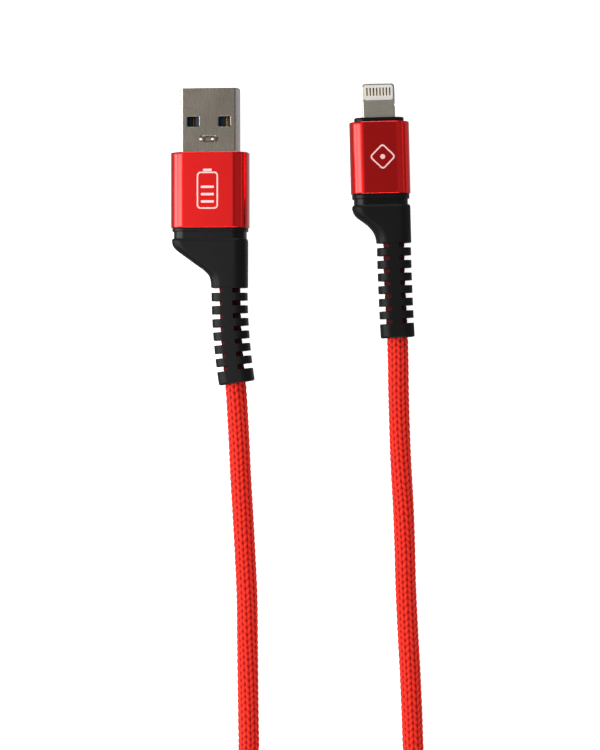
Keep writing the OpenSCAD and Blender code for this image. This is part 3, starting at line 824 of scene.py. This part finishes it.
# %% Arched strips
bm = bmesh.new()
for x, set_back in ((-3.5, 1.2), (-1.0, 2.2), (1.0, 2.2), (3.5, 1.2)):
    arch = [(x + 0.3 * math.cos(a), -0.22 + 0.2 * math.sin(a)) for a in np.linspace(0, math.pi, 9)]
    spring_tip = STEEL_TIP - 1.05 - set_back
    add_rings(bm, [[Vector((px, y, pz)) for px, pz in arch] for y in (STEEL_REAR, spring_tip)])
springs = smooth_piece(make_piece("type_a_springs", bm, on_type_a, gold))
belongs(springs, "contact_gold", "type_a_contacts")


# %% [markdown]
# ## Black plastic collars
# A moulded polycarbonate ring closes the back of each sleeve, with a narrower neck that the
# boot grips, and a small one fills the front of the phone plug round its tab. Polycarbonate
# from a polished mould is nearly black and glossy, with the finest of grain. Its IOR is about
# 1.58, but the grain spoils the mirror, and a lower value gives the same depth of black.

# %% Moulded plastics
def moulded(name, dark, light, roughness, ior, grain=900.0, depth=0.004):
    """A moulded plastic: slow change of tone, and fine grain in its bump and gloss."""
    material, tree, shader = new_material(name, IOR=ior)
    where = add_node(tree, "ShaderNodeTexCoord")
    tone = add_node(tree, "ShaderNodeTexNoise", {"Vector": where.outputs["Object"], "Scale": 180.0,
                                                 "Detail": 2.0})
    ramp = add_node(tree, "ShaderNodeValToRGB", {"Fac": tone.outputs["Fac"]},
                    tones=(dark, light))
    fine = add_node(tree, "ShaderNodeTexNoise", {"Vector": where.outputs["Object"], "Scale": grain,
                                                 "Detail": 3.0})
    sheen = add_node(tree, "ShaderNodeMapRange", {"Value": fine.outputs["Fac"],
                                                  "To Min": roughness - 0.05,
                                                  "To Max": roughness + 0.05})
    bump = add_node(tree, "ShaderNodeBump", {"Height": fine.outputs["Fac"], "Distance": depth * MM})
    feed(shader, Base_Color=ramp, Roughness=sheen, Normal=bump)
    return material


collar_plastic = moulded("moulded_polycarbonate_black", "#040405", "#08080a", 0.36, 1.28, 2500.0)
print("plastic for the collars:", collar_plastic.name)


# %% Rear and front collars
def rear_collar(name, w, t, flange, neck_end, x, matrix):
    """Spigot, flange and neck in one closed profile round the cord's bore."""
    bore = (3.6, 3.6, 1.79)
    spigot = (w - 2.1, t - 2.1, SLEEVE_R - 1.05)
    neck = (w - 1.2, t - 1.2, SLEEVE_R - 0.6)
    edge = 0.14
    rings = [section(*bore, 1.2, x), section(*spigot, 1.2), section(*spigot, 0)]
    front = [(edge, 0), (edge * 0.3, -edge * 0.3), (0, -edge)]
    back = [(i, -flange - y) for i, y in front[::-1]]
    rings += [section(w - 0.5 - 2 * i, t - 0.4 - 2 * i, SLEEVE_R - 0.2 - i, y)
              for i, y in front + back]
    rings += [section(*neck, -flange), section(*neck, neck_end), section(*bore, neck_end, x)]
    bm = bmesh.new()
    add_rings(bm, rings, closed=True)
    return smooth_piece(make_piece(name, bm, matrix, collar_plastic))


belongs(rear_collar("type_a_collar", TYPE_A_W, TYPE_A_T, 0.75, -2.2, 4.0, on_type_a),
        "collar_black", "type_a_rear_collar")
belongs(rear_collar("phone_collar", PHONE_W, PHONE_T, 1.05, -2.3, 2.45, on_phone),
        "collar_black", "phone_rear_collar")

bm = bmesh.new()
tab_slot = (6.7, 1.5, 0.06)
COLLAR_FRONT = PHONE_L + 0.9
rings = [section(*tab_slot, 13.0), section(8.3, 3.8, 1.2, 13.0), section(8.3, 3.8, 1.2, PHONE_L)]
rings += [section(10.2 - 2 * i, 5.4 - 2 * i, 2 - i, PHONE_L + b)
          for i, b in ((0.12, 0), (0.04, 0.04), (0, 0.12))]
rings += [section(10.2 - 2 * i, 5.4 - 2 * i, 2 - i, COLLAR_FRONT - b)
          for i, b in ((0, 0.2), (0.06, 0.06), (0.2, 0))]
add_rings(bm, rings + [section(*tab_slot, COLLAR_FRONT)], closed=True)
front_collar = smooth_piece(make_piece("phone_tab_collar", bm, on_phone, collar_plastic))
belongs(front_collar, "collar_black", "phone_front_collar")

# %% [markdown]
# ## The slotted boots
# A boot is moulded in one piece from soft thermoplastic elastomer. Its shoulder grips the
# collar and narrows to one side, and its tail is cut by seven slots on each side of a thin
# spine, so that it bends in a curve with the cord. It is lofted from rounded sections along
# that curve, cut with the slots and the cord's channel, and then its edges are rounded.

# %% Thermoplastic elastomer
# An eroded mould leaves the elastomer softly matt: deep black, with a wide, weak highlight.
rubber = moulded("moulded_elastomer_black", "#050506", "#0a0a0b", 0.5, 1.26, 3500.0, 0.012)
print("elastomer for the boots:", rubber.name)


# %% One boot
def along_bend(x, start, bend_r, arc):
    """Point and sideways direction on the boot's axis, this far past the start of the bend."""
    a = max(arc, 0) / bend_r
    point = Vector((x + bend_r * (1 - math.cos(a)), start - bend_r * math.sin(a) - min(arc, 0), 0))
    return point, Vector((math.cos(a), math.sin(a), 0))


def across_axis(point, sideways, left, right, t, r):
    """A rounded section between two distances to the sides of a point on the axis."""
    return [point + sideways * ((left + right) / 2 + px) + Vector((0, 0, pz))
            for px, pz in rounded(right - left, t, r, 6)]


CHANNEL_R, SPINE_HALF, SLOT_HALF, SLOTS = 2.42, 1.0, 0.515, 7
SHOULDER_R, TAIL_R = 2.4, 2.2


def boot(name, matrix, outline, thick, rib, x, neck_end, start, bend_r, length, pitch):
    """Shoulder and ribbed tail, with its channel and its slots.
    The outline is the left edge of the shoulder, the tail starts to bend at start, and the
    bend's radius, the tail's length and the slots' pitch are in millimetres too."""
    rib_w, rib_t = rib
    ys = [p[1] for p in outline][::-1]
    lefts = [p[0] - x for p in outline][::-1]
    right = rib_w / 2 + 0.1
    rings = []
    for y in np.arange(neck_end, start - 0.01, -0.3):
        spread = [np.interp(y + d, ys, lefts) for d in (-0.6, -0.3, 0, 0.3, 0.6)]
        left = float(np.mean(spread)) if y < neck_end - 0.7 else float(np.interp(y, ys, lefts))
        t = float(np.interp(y, (start, neck_end - 1.5), (rib_t + 0.2, thick)))
        trim = max(0.0, 0.35 - (neck_end - y)) * 0.6
        axis, sideways = along_bend(x, start, bend_r, start - y)
        rings.append(across_axis(axis, sideways, left + trim, right - trim, t - 2 * trim,
                                 SHOULDER_R - trim))
    tail = [(arc, 0.0) for arc in np.arange(0.0, length - 0.4, 0.5)]
    tail += [(length - back, trim)
             for trim, back in ((0, 0.35), (0.05, 0.17), (0.17, 0.05), (0.35, 0))]
    for arc, trim in tail:
        rings.append(across_axis(*along_bend(x, start, bend_r, arc), -rib_w / 2 + trim,
                                 rib_w / 2 - trim, rib_t - 2 * trim, TAIL_R - trim))
    bm = bmesh.new()
    add_rings(bm, rings)
    piece = make_piece(name, bm, Matrix.Identity(4), rubber)

    hole = []
    for arc in (start - neck_end - 1.0, 0.0, *np.linspace(0.5, length + 1, 24)):
        axis, sideways = along_bend(x, start, bend_r, arc)
        hole.append([axis + sideways * (CHANNEL_R * math.cos(a))
                     + Vector((0, 0, CHANNEL_R * math.sin(a)))
                     for a in np.linspace(0, 2 * math.pi, 32, endpoint=False)])
    channel = bmesh.new()
    add_rings(channel, hole)
    cuts = bmesh.new()
    for i in range(SLOTS):
        axis, sideways = along_bend(x, start, bend_r, i * pitch + SLOT_HALF)
        forward = Vector((sideways.y, -sideways.x, 0))
        for hand in (-1, 1):
            inner, outer = [axis + sideways * (hand * out) for out in (SPINE_HALF, rib_w / 2 + 1.5)]
            add_rings(cuts, [[end + forward * (SLOT_HALF * f) + Vector((0, 0, 5 * u))
                              for f, u in ((-1, -1), (1, -1), (1, 1), (-1, 1))]
                             for end in (inner, outer)])
    carve(piece, [channel, cuts])
    piece.data.transform(matrix)
    round_edges(piece, 0.16, 42)
    return piece


print("slots are", 2 * SLOT_HALF, "mm wide")

# %% Both boots
type_a_boot = boot(
    "type_a_grip", on_type_a,
    outline=[(-7.9, -2.2), (-7.7, -3.7), (-7.2, -4.4), (-0.5, -9.2), (0.1, -10.2), (0.3, -11.4),
             (0.3, -13)],
    thick=TYPE_A_T - 0.9, rib=(7.2, 6.6), x=4.0, neck_end=-2.2, start=-12.3, bend_r=125.0,
    length=19.63, pitch=2.65)
belongs(type_a_boot, "boot_rubber", "type_a_boot")
phone_boot = boot(
    "phone_grip", on_phone,
    outline=[(-6, -2.3), (-6, -3.2), (-5.4, -4.6), (-3.5, -5.9), (-2.2, -7.1), (-1.45, -8.3),
             (-1.15, -9.6), (-1.15, -11)],
    thick=PHONE_T - 0.8, rib=(7.0, 6.0), x=2.45, neck_end=-2.3, start=-10.15, bend_r=560.0,
    length=19.55, pitch=2.6)
belongs(phone_boot, "boot_rubber", "phone_boot")

# %% [markdown]
# ## The phone plug's tab
# The tab is a stainless frame, cast in metal powder, ground flat and nickel plated, 6.7 mm
# wide and 1.5 mm thick. Satin nickel is a pale mirror, blurred more along the grinding than
# across it. A window through the tab holds a white block with eight gold bars on each face,
# and two notches in its sides catch the socket's springs. The frame is one ring, skinned from
# its window round its rounded edges, because such a profile needs no cut for the window.

# %% Satin nickel
satin_nickel, tree, shader = new_material("satin_nickel_plate", Metallic=1.0, Roughness=0.3)
where = add_node(tree, "ShaderNodeTexCoord")
stretch = add_node(tree, "ShaderNodeMapping", {"Vector": where.outputs["Object"],
                                               "Scale": (0.06, 1.0, 1.0)})
# Grinding lines cross the tab; at 0.02 mm they are too fine, so they are drawn at 0.2 mm.
ground = add_node(tree, "ShaderNodeTexNoise", {"Vector": stretch.outputs[0], "Scale": 5200.0,
                                               "Detail": 3.0})
warm = add_node(tree, "ShaderNodeValToRGB", {"Fac": ground.outputs["Fac"]},
                tones=("#bcb3a2", "#dcd4c4"))
polish = add_node(tree, "ShaderNodeMapRange", {"Value": ground.outputs["Fac"], "To Min": 0.24,
                                               "To Max": 0.38})
bump = add_node(tree, "ShaderNodeBump", {"Height": ground.outputs["Fac"], "Distance": 0.003 * MM})
feed(shader, Base_Color=warm, Roughness=polish, Normal=bump)

# The ground edges turn away from the light boxes, so they get a darker copy of the finish: painted
# shade.
nickel_painted_shade = toned(satin_nickel, "satin_nickel_painted_shade_rim", "#2c2925", "#3a3630")
print("tab finishes:", satin_nickel.name, nickel_painted_shade.name)

# %% Tab frame
TAB_W, TAB_T, TAB_ROOT, TAB_TIP, TAB_REAR = 6.7, 1.5, 15.7, 22.9, 12.2
BLOCK_W, BLOCK_L, BLOCK_Y = 6.1, 3.2, 19.35


def block_outline(inset):
    """The contact block's outline: rounded corners and a slightly bowed rear edge."""
    outline = rounded(BLOCK_W - 2 * inset, BLOCK_L - 2 * inset, 0.55 - inset)
    bowed = [(x, y - (0.16 * (1 - (2 * x / BLOCK_W) ** 2) if y < 0 else 0)) for x, y in outline]
    return shifted(bowed, 0, BLOCK_Y + BLOCK_L / 2)


def tab_outline(inset):
    """The tab's outline, with its tip rounded and its root hidden in the collar."""
    return shifted(rounded(TAB_W - 2 * inset, TAB_TIP - TAB_REAR - 2 * inset, 0.9 - inset),
                   0, (TAB_TIP + TAB_REAR) / 2)


edge = ((0.22, 0), (0.09, 0.04), (0.03, 0.11), (0, 0.24))
half = TAB_T / 2
rings = [plan(block_outline(0), -half), plan(block_outline(0), half)]
rings += [plan(tab_outline(i), half - d) for i, d in edge]
rings += [plan(tab_outline(i), d - half) for i, d in edge[::-1]]
bm = bmesh.new()
add_rings(bm, rings, closed=True)
tab = make_piece("phone_tab", bm, Matrix.Identity(4), satin_nickel)
NOTCH_X, NOTCH_Y = TAB_W / 2 + 0.48, TAB_ROOT + 2.6
notches = bmesh.new()
for x in (-NOTCH_X, NOTCH_X):
    disc = shifted(rounded(1.2, 1.2, 0.59), x, NOTCH_Y)
    add_rings(notches, [plan(disc, -2), plan(disc, 2)])
carve(tab, [notches])
tab.data.materials.append(nickel_painted_shade)
for facet in tab.data.polygons:
    facet.material_index = 0 if abs(facet.normal.z) > 0.9 else 1
tab.data.transform(on_phone)
smooth_piece(tab)
belongs(tab, "tab_nickel", "phone_tab_frame")

# %% White block
# A stiff polymer, moulded thin, is chalky white with a slight gloss.
block_plastic = moulded("moulded_polymer_white", "#cfccc6", "#dad7d2", 0.42, 1.6, 2500.0)
bm = bmesh.new()
add_rings(bm, [plan(block_outline(0.1), -half - 0.01), plan(block_outline(0.03), -half + 0.06),
               plan(block_outline(0.03), half - 0.06), plan(block_outline(0.1), half + 0.01)])
block = smooth_piece(make_piece("phone_block", bm, on_phone, block_plastic))
belongs(block, "block_white", "phone_contact_block")

# %% Gold-plated bars
BARS, BAR_PITCH, BAR_W, BAR_L, BAR_Y = 8, 0.67, 0.3, 1.67, BLOCK_Y + 1.735
bm = bmesh.new()
for i in range(BARS):
    x = (i - (BARS - 1) / 2) * BAR_PITCH
    for face in (-1, 1):
        bar = []
        for inset, proud in ((0, -0.1), (0, 0.015), (0.04, 0.035)):
            outline = rounded(BAR_W - 2 * inset, BAR_L - 2 * inset, 0.1 - inset / 2, 4)
            bar.append(plan(shifted(outline, x, BAR_Y), face * (half + proud)))
        add_rings(bm, bar)
bars = smooth_piece(make_piece("phone_bars", bm, on_phone, gold))
belongs(bars, "contact_gold", "phone_contacts")


# %% [markdown]
# ## The parts inside
# The solids inside the plugs already have their real shapes, so they stay as the frame has
# them. Each gets the finish of what it is made of, and most get a slight rounding on their
# edges, which a modifier adds without touching the mesh.

# %% Finish a carried-over node
def finish_node(name, material, edge=0.0):
    """Give a CAD node its material, and soften its edges."""
    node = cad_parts[name]
    if not node.material_slots:
        node.data.materials.append(material)
    for slot in node.material_slots:
        slot.material = material
    if edge:
        bevel = node.modifiers.new("edges", "BEVEL")
        bevel.width = edge * MM
        bevel.segments = 2
        bevel.limit_method = "ANGLE"
        bevel.angle_limit = math.radians(40)
    print(name, "is finished in", material.name)


blue = moulded("moulded_polyester_blue", "#072c50", "#0b3a66", 0.4, 1.57, 2500.0)
finish_node("type_a_tongue", blue, 0.06)
ivory = moulded("moulded_polypropylene_ivory", "#d9d2bf", "#e6e0cf", 0.5, 1.49, 1500.0)
finish_node("type_a_inner_mould", ivory, 0.12)
finish_node("phone_inner_mould", ivory, 0.12)
finish_node("type_a_crimp", nickel_steel, 0.04)
finish_node("phone_crimp", nickel_steel, 0.04)
jacket = moulded("extruded_elastomer_white", "#dcdcda", "#ececea", 0.55, 1.5, 1200.0)
finish_node("type_a_inner_jacket", jacket)
finish_node("phone_inner_jacket", jacket)
for colour, dark, light in (("red", "#9c0f12", "#b51a1c"), ("white", "#d6d6d4", "#eaeae8"),
                            ("green", "#0f6b33", "#15803e"), ("black", "#101011", "#1a1a1c")):
    insulation = moulded("extruded_vinyl_" + colour, dark, light, 0.38, 1.53, 1800.0)
    finish_node("type_a_wire_" + colour, insulation)
    finish_node("phone_wire_" + colour, insulation)

# %% Circuit board and its parts
laminate = moulded("glass_epoxy_green", "#0c4a26", "#13602f", 0.3, 1.55, 4000.0)
finish_node("phone_board", laminate, 0.03)
epoxy = moulded("moulded_epoxy_black", "#141415", "#1c1c1e", 0.6, 1.55, 5000.0, 0.01)
finish_node("phone_chip", epoxy, 0.05)
finish_node("phone_shield_can", satin_nickel, 0.08)
ceramic = moulded("fired_ceramic_tan", "#a5835c", "#b99a72", 0.45, 1.7, 3000.0)
finish_node("phone_capacitors", ceramic, 0.05)
